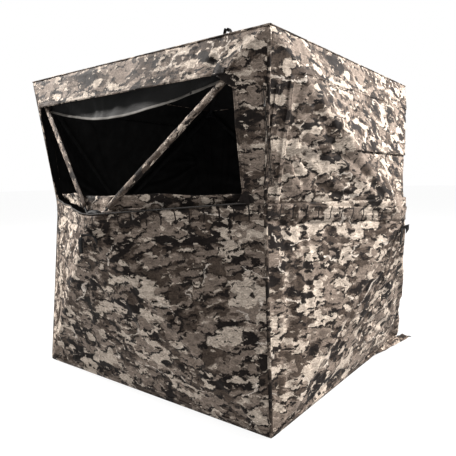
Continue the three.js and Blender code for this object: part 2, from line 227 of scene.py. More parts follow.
def vertex_normals(points, faces):
    p = points[faces]
    face = np.cross(p[:, 2] - p[:, 0], p[:, 3] - p[:, 1])
    total = np.zeros_like(points)
    for k in range(4):
        np.add.at(total, faces[:, k], face)
    return total / np.maximum(np.linalg.norm(total, axis=1, keepdims=True), 1e-12)


def thick_sheet(name, points, faces, plan, outside, inside, thickness=CLOTH, trim=None):
    """A closed sheet: the given quads outside, a copy set back inside, and a rim."""
    used = np.unique(faces)
    renumber = np.full(len(points), -1)
    renumber[used] = np.arange(len(used))
    points, plan, faces = points[used], plan[used], renumber[faces]
    trim = plan if trim is None else trim[used]
    back = points - vertex_normals(points, faces) * thickness
    count = len(points)
    edges = np.concatenate([faces[:, [k, (k + 1) % 4]] for k in range(4)])
    keys = np.sort(edges, 1)
    _, first, uses = np.unique(keys, axis=0, return_index=True, return_counts=True)
    rim_edges = edges[first[uses == 1]]
    rim = np.stack([rim_edges[:, 1], rim_edges[:, 0], rim_edges[:, 0] + count, rim_edges[:, 1] + count], 1)
    inner = faces[:, ::-1] + count
    every = np.concatenate([faces, inner, rim])
    kinds = np.concatenate([np.zeros(len(faces)), np.ones(len(inner)), np.zeros(len(rim))])
    both = [np.concatenate([layer, layer]) for layer in (plan, trim)]
    return make_mesh(name, np.concatenate([points, back]), every, *both, [outside, inside], kinds)


def lined_sheet(name, points, faces, plan):
    """Printed cloth with a coated black back: two thin layers, the lining set a little behind the cloth."""
    behind = points - vertex_normals(points, faces) * BACKING
    face = thick_sheet(f"{name}_cloth", points, faces, plan, CAMO, CAMO, LAYER)
    back = thick_sheet(f"{name}_lining", behind, faces, plan, LINING, LINING, LAYER)
    return face, back


def inside_polygon(x, y, polygon):
    inside = np.zeros(len(x), bool)
    for (x0, y0), (x1, y1) in zip(polygon, polygon[1:] + polygon[:1]):
        crosses = (y0 > y) != (y1 > y)
        at = x0 + (x1 - x0) * (y - y0) / np.where(y1 == y0, 1e-12, y1 - y0)
        inside ^= crosses & (x < at)
    return inside


def nearest_on(x, y, polygon):
    best = np.full(len(x), np.inf)
    out = np.stack([x, y], 1)
    for (x0, y0), (x1, y1) in zip(polygon, polygon[1:] + polygon[:1]):
        dx, dy = x1 - x0, y1 - y0
        t = np.clip(((x - x0) * dx + (y - y0) * dy) / (dx * dx + dy * dy), 0, 1)
        px, py = x0 + t * dx, y0 + t * dy
        distance = np.hypot(x - px, y - py)
        closer = distance < best
        best[closer] = distance[closer]
        out[closer] = np.stack([px, py], 1)[closer]
    return out


def cut_opening(plan, faces, polygon):
    """Drops the faces inside a polygon drawn on the sheet's plan and pulls the cut edge onto it."""
    centre = plan[faces].mean(1)
    gone = inside_polygon(centre[:, 0], centre[:, 1], polygon)
    kept = faces[~gone]
    edge = np.intersect1d(np.unique(faces[gone]), np.unique(kept))
    plan = plan.copy()
    plan[edge] = nearest_on(plan[edge, 0], plan[edge, 1], polygon)
    return plan, kept


# ---- materials -----------------------------------------------------------------------------------
BLACK = (0, 0, 0, 1)
WHITE = (1, 1, 1, 1)


def material(name):
    made = bpy.data.materials.new(name)
    made.use_nodes = True
    made.node_tree.nodes.clear()
    return made, made.node_tree


def srgb(r, g, b):
    def line(v):
        v = v / 255
        return v / 12.92 if v <= 0.04045 else ((v + 0.055) / 1.055) ** 2.4

    return (line(r), line(g), line(b), 1)


def connect(tree, socket, value):
    if isinstance(value, bpy.types.NodeSocket):
        tree.links.new(value, socket)
    else:
        socket.default_value = value


def principled(tree, roughness, specular=0.3, sheen=0.0):
    shader = tree.nodes.new("ShaderNodeBsdfPrincipled")
    shader.inputs["Roughness"].default_value = roughness
    shader.inputs["Specular IOR Level"].default_value = specular
    shader.inputs["Sheen Weight"].default_value = sheen
    out = tree.nodes.new("ShaderNodeOutputMaterial")
    tree.links.new(shader.outputs[0], out.inputs[0])
    return shader


def ramp(tree, source, stops):
    made = tree.nodes.new("ShaderNodeValToRGB")
    elements = made.color_ramp.elements
    while len(elements) < len(stops):
        elements.new(0.5)
    for element, (place, colour) in zip(elements, stops):
        element.position = place
        element.color = colour
    tree.links.new(source, made.inputs[0])
    return made.outputs[0]


def band(tree, source, low, high):
    """White from low to high with a narrow ramp at each side."""
    soft = 0.006
    return ramp(tree, source, [(low - soft, BLACK), (low, WHITE), (high, WHITE), (high + soft, BLACK)])


def above(tree, source, level, soft=0.012):
    return ramp(tree, source, [(level, BLACK), (level + soft, WHITE)])


def texture(tree, where, scale, detail=3.0, roughness=0.5, offset=(0, 0, 0)):
    shifted = tree.nodes.new("ShaderNodeVectorMath")
    shifted.operation = "ADD"
    tree.links.new(where, shifted.inputs[0])
    shifted.inputs[1].default_value = offset
    made = tree.nodes.new("ShaderNodeTexNoise")
    made.inputs["Scale"].default_value = scale
    made.inputs["Detail"].default_value = detail
    made.inputs["Roughness"].default_value = roughness
    tree.links.new(shifted.outputs[0], made.inputs["Vector"])
    return made


def mix(tree, factor, a, b, blend="MIX"):
    made = tree.nodes.new("ShaderNodeMix")
    made.data_type = "RGBA"
    made.blend_type = blend
    for socket, value in ((made.inputs[0], factor), (made.inputs[6], a), (made.inputs[7], b)):
        connect(tree, socket, value)
    return made.outputs[2]


def calc(tree, operation, a, b=0.0, c=0.0):
    made = tree.nodes.new("ShaderNodeMath")
    made.operation = operation
    for socket, value in zip(made.inputs, (a, b, c)):
        connect(tree, socket, value)
    return made.outputs[0]


def set_bump(tree, shader, height, distance, strength=0.5):
    bump = tree.nodes.new("ShaderNodeBump")
    bump.inputs["Strength"].default_value = strength
    bump.inputs["Distance"].default_value = distance
    tree.links.new(height, bump.inputs["Height"])
    tree.links.new(bump.outputs[0], shader.inputs["Normal"])


def uv(tree, name):
    made = tree.nodes.new("ShaderNodeUVMap")
    made.uv_map = name
    return made.outputs[0]


DARK = srgb(27, 22, 20)
BROWN = srgb(72, 62, 55)
TAUPE = srgb(121, 109, 100)
PALE = srgb(180, 168, 156)
BONE = srgb(206, 196, 186)


def camo_colour(tree, where):
    """Layered ragged clumps: mottled ground, dark blobs, pale clumps with a cast shadow, flecks."""
    wide = tree.nodes.new("ShaderNodeVectorMath")
    wide.operation = "MULTIPLY"
    tree.links.new(where, wide.inputs[0])
    wide.inputs[1].default_value = (0.82, 1.16, 1)
    warp = tree.nodes.new("ShaderNodeVectorMath")
    warp.operation = "MULTIPLY_ADD"
    tree.links.new(texture(tree, where, 30, 6, 0.72).outputs["Color"], warp.inputs[0])
    warp.inputs[1].default_value = (0.066, 0.052, 0)
    tree.links.new(wide.outputs[0], warp.inputs[2])
    place = warp.outputs[0]

    ground = texture(tree, place, 13, 4, 0.6).outputs[0]
    colour = ramp(
        tree, ground,
        [(0.445, DARK), (0.465, BROWN), (0.525, BROWN), (0.545, TAUPE), (0.615, TAUPE), (0.635, PALE)],
    )
    blobs = above(tree, texture(tree, place, 6.3, 1.5, 0.5, (3.1, 1.7, 0)).outputs[0], 0.545)
    colour = mix(tree, blobs, colour, DARK)
    fog = above(tree, texture(tree, place, 8.1, 2, 0.5, (9.4, 5.2, 0)).outputs[0], 0.56)
    colour = mix(tree, fog, colour, BROWN)
    clump_at = (6.2, 2.6, 0)
    cast_at = (6.2 - 0.006, 2.6 + 0.009, 0)
    for scale, level, tint, shift in (
        (6.0, 0.570, PALE, 0), (8.6, 0.560, TAUPE, 5), (11.5, 0.590, PALE, 11), (16, 0.60, TAUPE, 17),
    ):
        move = (shift, shift, 0)
        cast = [a + b for a, b in zip(cast_at, move)]
        here = [a + b for a, b in zip(clump_at, move)]
        shadow = above(tree, texture(tree, place, scale, 2.5, 0.5, cast).outputs[0], level)
        colour = mix(tree, shadow, colour, DARK)
        clump = above(tree, texture(tree, place, scale, 2.5, 0.5, here).outputs[0], level)
        colour = mix(tree, clump, colour, tint)
    # thin pale squiggles, then small flecks
    line = band(tree, texture(tree, place, 5.0, 1, 0.5, (1.3, 8.8, 0)).outputs[0], 0.497, 0.503)
    some = above(tree, texture(tree, where, 7, 1, 0.5, (4.4, 0.3, 0)).outputs[0], 0.56)
    colour = mix(tree, mix(tree, 1.0, line, some, "MULTIPLY"), colour, BONE)
    flecks = texture(tree, place, 40, 2, 0.5, (2.2, 7.1, 0)).outputs[0]
    colour = mix(tree, above(tree, flecks, 0.64), colour, PALE)
    specks = texture(tree, place, 34, 2, 0.5, (8, 3, 0)).outputs[0]
    colour = mix(tree, above(tree, specks, 0.635), colour, DARK)
    tone = texture(tree, place, 48, 5, 0.65, (5, 5, 0)).outputs[0]
    grain = ramp(tree, tone, [(0.35, (0.66, 0.65, 0.64, 1)), (0.65, (1.30, 1.29, 1.27, 1))])
    colour = mix(tree, 1.0, colour, grain, "MULTIPLY")
    dots = texture(tree, place, 150, 3, 0.7, (1, 9, 0)).outputs[0]
    speckle = ramp(tree, dots, [(0.40, (0.55, 0.54, 0.53, 1)), (0.52, WHITE), (0.66, (1.45, 1.44, 1.42, 1))])
    return mix(tree, 1.0, colour, speckle, "MULTIPLY")


def cloth_height(tree, where, crumple_scale=34):
    weave = texture(tree, where, 1100, 1, 0.5).outputs[0]
    crumple = texture(tree, where, crumple_scale, 3, 0.55).outputs[0]
    return calc(tree, "MULTIPLY_ADD", crumple, 5.0, weave)


def camo_material(name, shade=1.0, stitches=(), bartack=0.0):
    """Printed cloth. A trim piece can carry stitch lines along it and bartacks across it."""
    made, tree = material(name)
    shader = principled(tree, 0.75, 0.12)
    where = uv(tree, "UVMap")
    colour = camo_colour(tree, where)
    if shade != 1.0:
        colour = mix(tree, 1.0, colour, (shade, shade, shade, 1), "MULTIPLY")
    if stitches or bartack:
        split = tree.nodes.new("ShaderNodeSeparateXYZ")
        tree.links.new(uv(tree, "Trim"), split.inputs[0])
        along, across = split.outputs[0], split.outputs[1]
        for place in stitches:
            gap = calc(tree, "ABSOLUTE", calc(tree, "SUBTRACT", across, place))
            line = calc(tree, "LESS_THAN", gap, 0.0011)
            dash = calc(tree, "LESS_THAN", calc(tree, "FRACT", calc(tree, "MULTIPLY", along, 190)), 0.62)
            colour = mix(tree, calc(tree, "MULTIPLY", line, dash), colour, DARK)
        if bartack:
            turn_share = calc(tree, "FRACT", calc(tree, "DIVIDE", along, bartack))
            away = calc(tree, "ABSOLUTE", calc(tree, "SUBTRACT", turn_share, 0.5))
            colour = mix(tree, calc(tree, "GREATER_THAN", away, 0.455), colour, DARK)
    tree.links.new(colour, shader.inputs["Base Color"])
    set_bump(tree, shader, cloth_height(tree, where), 0.0014, 0.5)
    return made


def plain_material(name, colour, roughness, grain_scale, grain, specular=0.3, coordinates="Object"):
    """One colour with soft unevenness and a fine raised grain: webbing, lining, plastic, metal."""
    made, tree = material(name)
    shader = principled(tree, roughness, specular)
    where = tree.nodes.new("ShaderNodeTexCoord").outputs[coordinates]
    spots = texture(tree, where, 14, 4, 0.6).outputs[0]
    worn = tuple(min(1, 1.5 * v) for v in colour[:3]) + (1,)
    darker = tuple(0.6 * v for v in colour[:3]) + (1,)
    shade = ramp(tree, spots, [(0.32, darker), (0.5, colour), (0.7, worn)])
    tree.links.new(shade, shader.inputs["Base Color"])
    set_bump(tree, shader, texture(tree, where, grain_scale, 2, 0.6).outputs[0], grain, 0.5)
    return made


def webbing_material(name, colour, pitch=0.0024):
    """Woven tape: ribs that run across it."""
    made, tree = material(name)
    shader = principled(tree, 0.8, 0.1)
    split = tree.nodes.new("ShaderNodeSeparateXYZ")
    tree.links.new(uv(tree, "Trim"), split.inputs[0])
    phase = calc(tree, "MULTIPLY", split.outputs[0], 2 * math.pi / pitch)
    side = calc(tree, "MULTIPLY", split.outputs[1], 2 * math.pi / (2 * pitch))
    ribs = calc(tree, "MULTIPLY", calc(tree, "SINE", phase), calc(tree, "COSINE", side))
    where = tree.nodes.new("ShaderNodeTexCoord").outputs["Object"]
    spots = texture(tree, where, 30, 3, 0.6).outputs[0]
    worn = tuple(1.8 * v for v in colour[:3]) + (1,)
    tree.links.new(ramp(tree, spots, [(0.4, colour), (0.7, worn)]), shader.inputs["Base Color"])
    set_bump(tree, shader, ribs, 0.0006, 0.6)
    return made


def net_material(name):
    """Fine black netting: a lattice of threads a little lighter than the gaps, whose near-black is painted
    shade for the dark inside seen through the net.
    """
    made, tree = material(name)
    shader = principled(tree, 0.8, 0.25)
    split = tree.nodes.new("ShaderNodeSeparateXYZ")
    tree.links.new(uv(tree, "UVMap"), split.inputs[0])
    pitch = 2 * math.pi / 0.0032
    waves = [calc(tree, "SINE", calc(tree, "MULTIPLY", split.outputs[k], pitch)) for k in (0, 1)]
    lattice = calc(tree, "MAXIMUM", *waves)
    spots = texture(tree, uv(tree, "UVMap"), 4, 3, 0.6).outputs[0]
    thread = ramp(tree, spots, [(0.35, (0.010, 0.010, 0.010, 1)), (0.7, (0.028, 0.027, 0.026, 1))])
    # painted shade: the gaps between the threads are near-black for the dark inside behind the net
    tree.links.new(mix(tree, lattice, (0.004, 0.004, 0.004, 1), thread), shader.inputs["Base Color"])
    set_bump(tree, shader, lattice, 0.0006, 0.6)
    return made


CAMO = camo_material("camo_cloth")
HEM = camo_material("camo_hem", 0.95, stitches=(-0.006, 0.006))
BINDING = camo_material("camo_binding", 0.8)
BELT = camo_material("belt_webbing", 0.9, stitches=(-0.007, 0.007), bartack=0.055)
LINING = plain_material("black_lining", (0.008, 0.0076, 0.0076, 1), 0.9, 900, 0.0006, 0.15)
NET = net_material("shoot_through_net")
NET_HEM = plain_material("net_hem", (0.10, 0.092, 0.082, 1), 0.8, 700, 0.0006)
WEBBING = webbing_material("black_webbing", (0.006, 0.006, 0.006, 1))
ZIP_TAPE = webbing_material("zip_tape", (0.022, 0.020, 0.018, 1), 0.0030)
SEAM = plain_material("seam_binding", (0.020, 0.017, 0.015, 1), 0.8, 700, 0.0006)
PLASTIC = plain_material("moulded_plastic", (0.014, 0.014, 0.015, 1), 0.55, 420, 0.0003, 0.2)
FIBREGLASS = plain_material("fibreglass_rod", (0.016, 0.016, 0.017, 1), 0.55, 600, 0.0002, 0.15)
ZINC = plain_material("zinc_zip", (0.26, 0.25, 0.23, 1), 0.32, 500, 0.0002, 0.6)


# ---- camera, floor, light ----------------------------------------------------------------------
def make_camera():
    data = bpy.data.cameras.new("camera")
    data.sensor_width = 36
    data.lens = 37.93
    camera = bpy.data.objects.new("camera", data)
    bpy.context.scene.collection.objects.link(camera)
    yaw, pitch, roll = -0.65194, -0.0986, -0.0157
    ahead = Vector((math.cos(pitch) * math.sin(yaw), math.cos(pitch) * math.cos(yaw), math.sin(pitch)))
    right = ahead.cross(Vector((0, 0, 1))).normalized()
    up = right.cross(ahead)
    right, up = (
        math.cos(roll) * right + math.sin(roll) * up,
        -math.sin(roll) * right + math.cos(roll) * up,
    )
    camera.matrix_world = Matrix.Translation((1.68596, -2.23565, 0.99634)) @ Matrix(
        (right, up, -ahead)
    ).transposed().to_4x4()
    bpy.context.scene.camera = camera


def area_light(name, place, target, size, energy, colour=(1, 1, 1)):
    data = bpy.data.lights.new(name, "AREA")
    data.shape = "DISK"
    data.size = size
    data.energy = energy
    data.color = colour
    lamp = bpy.data.objects.new(name, data)
    lamp.location = place
    lamp.rotation_euler = (Vector(target) - Vector(place)).to_track_quat("-Z", "Y").to_euler()
    bpy.context.scene.collection.objects.link(lamp)


def make_studio():
    world = bpy.data.worlds.new("studio")
    world.use_nodes = True
    background = world.node_tree.nodes["Background"]
    background.inputs[0].default_value = (1, 1, 1, 1)
    rays = world.node_tree.nodes.new("ShaderNodeLightPath")
    seen = calc(world.node_tree, "MULTIPLY_ADD", rays.outputs["Is Camera Ray"], 0.65, 0.35)
    world.node_tree.links.new(seen, background.inputs[1])
    bpy.context.scene.world = world
    bpy.context.scene.view_settings.view_transform = "Standard"
    warm = (1, 0.97, 0.94)
    area_light("key_left", (-4.7, -1.9, 5.0), (0, 0, 0.9), 1.4, 1230, warm)
    area_light("key_right", (4.3, 2.7, 5.15), (0.3, 0, 0.9), 1.4, 1480, warm)
    floor_material, tree = material("floor")
    shader = principled(tree, 0.9, 0.1)
    shader.inputs["Base Color"].default_value = (0.10, 0.10, 0.10, 1)
    shader.inputs["Emission Color"].default_value = (1, 1, 1, 1)
    shader.inputs["Emission Strength"].default_value = 0.92
    size = 60
    corners = [(-size, -size, -0.001), (size, -size, -0.001), (size, size, -0.001), (-size, size, -0.001)]
    make_mesh("floor", corners, [(0, 1, 2, 3)], materials=[floor_material])


# ---- walls and roof -------------------------------------------------------------------------------
STEP = 0.0105


def sill(a):
    return belt_top(a) + 0.006


def window_polygon(index):
    """The window's outline on a wall, with rounded upper corners."""
    def low(a):
        return float(sill(a)) if index == 0 else SHUT_SILL
    left, right, top = WINDOW["left"], WINDOW["right"], WINDOW["top"]
    left, left_low = (OPEN_LEFT["top"], OPEN_LEFT["sill"]) if index == 0 else (left, left)
    radius = 0.022
    points = [(left_low, low(left_low)), (0, low(0)), (right, low(right))]
    for centre_x, start in ((right - radius, 0), (left + radius, 90)):
        for step in range(5):
            angle = math.radians(start + 22.5 * step)
            points.append((centre_x + radius * math.cos(angle), top - radius + radius * math.sin(angle)))
    return points


def door_polygon(grow=0.0, hinge=0.0):
    """The door's outline on the wall's plan, larger by grow along the zip and moved by hinge at the hinge."""
    return [
        (0.420 - grow, 0.455 - grow),
        (0.620 + hinge, 0.165 - grow - DOOR_FOOT_SLOPE * hinge),
        (0.620 + hinge, 1.370 + grow + DOOR_HEAD_SLOPE * hinge),
        (0.420 - grow, 1.135 + grow),
    ]


def wall_plan():
    """Grid points (a, z) that fill the wall's outline."""
    rows = int(EAVE_Z / STEP)
    columns = int(2 * EAVE / STEP)
    z = np.linspace(0, EAVE_Z, rows)
    u = np.linspace(-1, 1, columns)
    zz, uu = np.meshgrid(z, u, indexing="ij")
    aa = uu * half_width(zz)
    return np.stack([aa.ravel(), zz.ravel()], 1), grid_faces(rows, columns)


def blend_wall(piece, index):
    """Bakes the piece's placement into its mesh; the wall's outward direction is worked out but not used."""
    out = Vector((0, -1, 0))
    out.rotate(Matrix.Rotation(index * math.pi / 2, 3, "Z"))
    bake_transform(piece)


def make_wall(index):
    name = WALLS[index]
    plan, faces = wall_plan()
    polygon = door_polygon() if name == "back" else window_polygon(index)
    plan, faces = cut_opening(plan, faces, polygon)
    a, z = plan[:, 0], plan[:, 1]
    points = turn(np.stack([a, -wall_out(a, z, index), z], 1), index)
    wall, lining = lined_sheet(f"{name}_wall", points, faces, plan)
    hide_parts(f"{name}_wall")
    trim_piece(wall, index)
    trim_piece(lining, index)
    return wall, lining


def make_roof():
    count = int(2 * EAVE / STEP)
    side = np.linspace(-EAVE, EAVE, count)
    yy, xx = np.meshgrid(side, side, indexing="ij")
    x, y = xx.ravel(), yy.ravel()
    reach = np.maximum(np.abs(x), np.abs(y)) / EAVE
    slopes = [ROOF_TIP - (ROOF_TIP - ROOF_EDGE) * np.abs(v) / EAVE for v in (x, y)]
    height = soft_min(soft_min(slopes[0], slopes[1], CREASE), np.full_like(x, ROOF_CAP), 0.006)
    folds = 0.004 * noise(x * 3, y * 3, 21) + 0.002 * noise(x * 9, y * 9, 22)
    points = np.stack([x, y, height + folds * smooth(0, 0.1, 1 - reach)], 1)
    plan = np.stack([x, y], 1)
    roof, lining = lined_sheet("roof", points, grid_faces(count, count), plan)
    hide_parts("roof")
    for piece, start in ((roof, EAVE_Z), (lining, EAVE_Z - BACKING)):
        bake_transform(piece)
    return roof, lining


# ---- pieces laid on the cloth -------------------------------------------------------------------
def resample(points, count, closed=False):
    """A smooth curve through a few control points."""
    points = np.asarray(points, float)
    if closed:
        ring = np.concatenate([points[-1:], points, points[:2]])
    else:
        ring = np.concatenate([2 * points[:1] - points[1:2], points, 2 * points[-1:] - points[-2:-1]])
    spans = len(ring) - 3
    t = np.linspace(0, spans, count, endpoint=not closed)
    k = np.minimum(t.astype(int), spans - 1)
    f = (t - k)[:, None]
    p0, p1, p2, p3 = (ring[k + j] for j in range(4))
    square = 2 * p0 - 5 * p1 + 4 * p2 - p3
    cube = 3 * p1 - p0 - 3 * p2 + p3
    return 0.5 * (2 * p1 + (p2 - p0) * f + square * f ** 2 + cube * f ** 3)


def straight(points, pitch=0.012):
    """Points along straight runs, a pitch apart."""
    points = np.asarray(points, float)
    out = [points[:1]]
    for a, b in zip(points[:-1], points[1:]):
        steps = max(1, int(np.linalg.norm(b - a) / pitch))
        out.append(a + (b - a) * (np.arange(1, steps + 1) / steps)[:, None])
    return np.concatenate(out)


def along(points):
    return np.concatenate([[0], np.cumsum(np.linalg.norm(np.diff(points, axis=0), axis=1))])


def on_wall(plan, index, lift):
    a, z = plan[:, 0], plan[:, 1]
    return turn(np.stack([a, -wall_out(a, z, index) - lift, z], 1), index)


def strip(name, index, path, half, lift=0.0012, thickness=0.0012, finish=None, bulge=None, across=5):
    """A band of cloth or webbing that lies on a wall along a path drawn on its plan."""
    length = along(path)
    heading = np.gradient(path, axis=0)
    heading /= np.maximum(np.linalg.norm(heading, axis=1, keepdims=True), 1e-9)
    side = np.stack([-heading[:, 1], heading[:, 0]], 1)
    halves = np.broadcast_to(half, len(path))
    share = np.linspace(-1, 1, across)
    plan = (path[:, None] + side[:, None] * (halves[:, None] * share)[..., None]).reshape(-1, 2)
    trim = np.stack([np.repeat(length, across), (halves[:, None] * share).ravel()], 1)
    rise = np.full(len(plan), lift + thickness)
    if bulge is not None:
        rise = rise + bulge(np.repeat(length, across), np.tile(share, len(path)))
    points = on_wall(plan, index, rise)
    faces = grid_faces(len(path), across)
    towards = turn(np.array([[0.0, -1.0, 0.0]]), index)[0]
    if vertex_normals(points, faces).mean(0) @ towards < 0:
        faces = faces[:, ::-1]
    return thick_sheet(name, points, faces, plan, finish, finish, thickness, trim)


def patch(
    name, index, polygon, depth, outside, inside=None, folds=None, step=0.010, thickness=CLOTH, hole=None
):
    """A sheet with the given outline on a wall's plan, set in by a depth."""
    polygon = [tuple(point) for point in polygon]
    corner = np.array(polygon)
    low, high = corner.min(0), corner.max(0)
    columns, rows = (np.ceil((high - low) / step).astype(int) + 1)
    aa, zz = np.meshgrid(np.linspace(low[0], high[0], columns), np.linspace(low[1], high[1], rows))
    plan = np.stack([aa.ravel(), zz.ravel()], 1)
    faces = grid_faces(rows, columns)
    centre = plan[faces].mean(1)
    kept = faces[inside_polygon(centre[:, 0], centre[:, 1], polygon)]
    edges = np.sort(np.concatenate([kept[:, [k, (k + 1) % 4]] for k in range(4)]), 1)
    pairs, uses = np.unique(edges, axis=0, return_counts=True)
    border = np.unique(pairs[uses == 1])
    plan[border] = nearest_on(plan[border, 0], plan[border, 1], polygon)
    if hole:
        plan, kept = cut_opening(plan, kept, hole)
    lift = -depth + (folds(plan[:, 0], plan[:, 1]) if folds else 0 * plan[:, 0])
    points = on_wall(plan, index, lift)
    if inside is LINING:
        return lined_sheet(name, points, kept, plan)
    return thick_sheet(name, points, kept, plan, outside, outside, thickness)


def ribbon(name, path, width_way, half, thickness, finish, across=4):
    """A flat tape along a path in space; width_way gives the direction of its width."""
    length = along(path)
    width_way = np.broadcast_to(width_way, path.shape)
    width_way = width_way / np.linalg.norm(width_way, axis=1, keepdims=True)
    share = np.linspace(-1, 1, across)
    halves = np.broadcast_to(half, len(path))
    points = (path[:, None] + width_way[:, None] * (halves[:, None] * share)[..., None]).reshape(-1, 3)
    trim = np.stack([np.repeat(length, across), (halves[:, None] * share).ravel()], 1)
    return thick_sheet(name, points, grid_faces(len(path), across), trim, finish, finish, thickness, trim)


def tube(name, path, radius, finish, sides=8, flat=1.0, out=(0, -1, 0), rough=0.0, seed=0):
    """A closed tube; flat squeezes it along the out direction."""
    path = np.asarray(path, float)
    heading = np.gradient(path, axis=0)
    heading /= np.linalg.norm(heading, axis=1, keepdims=True)
    out = np.asarray(out, float) - heading * (heading @ np.asarray(out, float))[:, None]
    out /= np.linalg.norm(out, axis=1, keepdims=True)
    side = np.cross(heading, out)
    angle = np.linspace(0, 2 * math.pi, sides, endpoint=False)
    length = along(path)
    radius = np.broadcast_to(radius, len(path))
    swell = 1 + rough * noise(length[:, None] * 40, angle[None] * 1.6, seed)
    ring = radius[:, None] * swell
    points = path[:, None] + ring[..., None] * (
        np.cos(angle)[None, :, None] * side[:, None] + flat * np.sin(angle)[None, :, None] * out[:, None]
    )
    count = len(path)
    k = np.arange(sides)
    rows = np.arange(count - 1)[:, None] * sides
    faces = np.stack([rows + k, rows + (k + 1) % sides, rows + sides + (k + 1) % sides, rows + sides + k], -1)
    faces = [list(f) for f in faces.reshape(-1, 4)]
    faces += [list(k[::-1]), list((count - 1) * sides + k)]
    plan = np.stack([np.repeat(length, sides), np.tile(radius.max() * angle, count)], 1)
    return make_mesh(name, points.reshape(-1, 3), faces, plan, plan, [finish])


def belt_pieces(index):
    name = WALLS[index]
    end = 0.380 if name == "back" else 0.686
    a = np.arange(-0.686, end, 0.006)
    path = np.stack([a, (belt_top(a) + belt_bottom(a)) / 2], 1)
    half = (belt_top(a) - belt_bottom(a)) / 2

    def bulge(length, share):
        puff = np.abs(np.sin(math.pi * length / 0.055)) ** 0.6
        return 0.0035 * puff * (0.4 + 0.6 * np.abs(share)) + 0.0008 * noise(length * 30, share * 2, index)

    belt = strip(f"{name}_belt_webbing", index, path, half, 0.0008, 0.0014, BELT, bulge, 7)
    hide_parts(f"{name}_belt")
    blend_wall(belt, index)
    return belt


def trim_piece(piece, index):
    blend_wall(piece, index)
    return piece


def lined_trim(pieces, index):
    """Bakes the placement of both layers of a lined sheet that hangs a depth behind the wall."""
    face, back = pieces
    trim_piece(face, index)
    trim_piece(back, index)
    return face, back


def wall_trims(index):
    """Hems round the opening and along the ground, and the sill's piping."""
    name = WALLS[index]
    trims = []
    foot = np.stack([np.arange(-0.728, 0.7281, 0.012), np.full(122, 0.0165)], 1)
    trims.append(strip(f"{name}_foot_hem", index, foot, 0.0135, finish=HEM))
    if name == "back":
        return [trim_piece(piece, index) for piece in trims]
    left, right, top = WINDOW["left"], WINDOW["right"], WINDOW["top"]
    lap = 0.011
    left_top, left_low = (OPEN_LEFT["top"], OPEN_LEFT["sill"]) if index == 0 else (left, left)
    low = float(sill(left)) if index == 0 else SHUT_SILL
    for side, a_low, a_top in (("left", left_low - lap, left_top - lap), ("right", right + lap, right + lap)):
        jamb = straight([(a_low, low - 0.01), (a_top, top - 0.01)])
        trims.append(strip(f"{name}_window_{side}_hem", index, jamb, 0.0105, finish=HEM))
    if index == 0:
        head = straight([(left_top + 0.02, top + lap), (right - 0.02, top + lap)])
        trims.append(strip("front_window_head_hem", index, head, 0.0105, finish=HEM))
        a = np.linspace(left_low - 0.006, right + 0.006, 90)
        edge = on_wall(np.stack([a, sill(a) + 0.001], 1), index, 0.0015)
        trims.append(tube("front_sill_piping", edge, 0.0027, SEAM))
        zip_path = straight([(0.716, 0.975), (0.716, 1.335)])
        trims.append(strip("front_corner_zip_tape", index, zip_path, 0.008, 0.001, 0.001, HEM))
        teeth = on_wall(straight([(0.716, 0.975), (0.716, 1.335)], 0.004), index, 0.0026)
        trims.append(tube("front_corner_zip_teeth", teeth, 0.0019, SEAM, 6))
    else:
        ridge = straight([(-0.70, 0.96), (-0.70, 1.34)])
        trims.append(strip(f"{name}_corner_fold", index, ridge, 0.007, finish=HEM))
    return [trim_piece(piece, index) for piece in trims]


def fan_folds(a, z, seed):
    """Loose folds below the lap of a shut window, spreading from its corners."""
    return 0.0085 * fan(a, z, (WINDOW["left"], 1.14), 7, 0.06, 0.7, seed) + 0.0016 * noise(a * 9, z * 9, seed)


def make_curtain(name, node_name, index, low, high, depth, seed):
    def folds(a, z):
        edge = smooth(0.015, 0.06, z - SHUT_SILL) * smooth(0.02, 0.05, high - z)
        edge = edge * smooth(0.0, 0.06, a + 0.640) * smooth(0.0, 0.06, 0.615 - a)
        return fan_folds(a, z, seed) * edge

    outline = [(-0.662, low), (0.637, low), (0.637, high), (-0.662, high)]
    pieces = patch(name, index, outline, depth, CAMO, LINING, folds)
    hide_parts(node_name)
    return lined_trim(pieces, index)


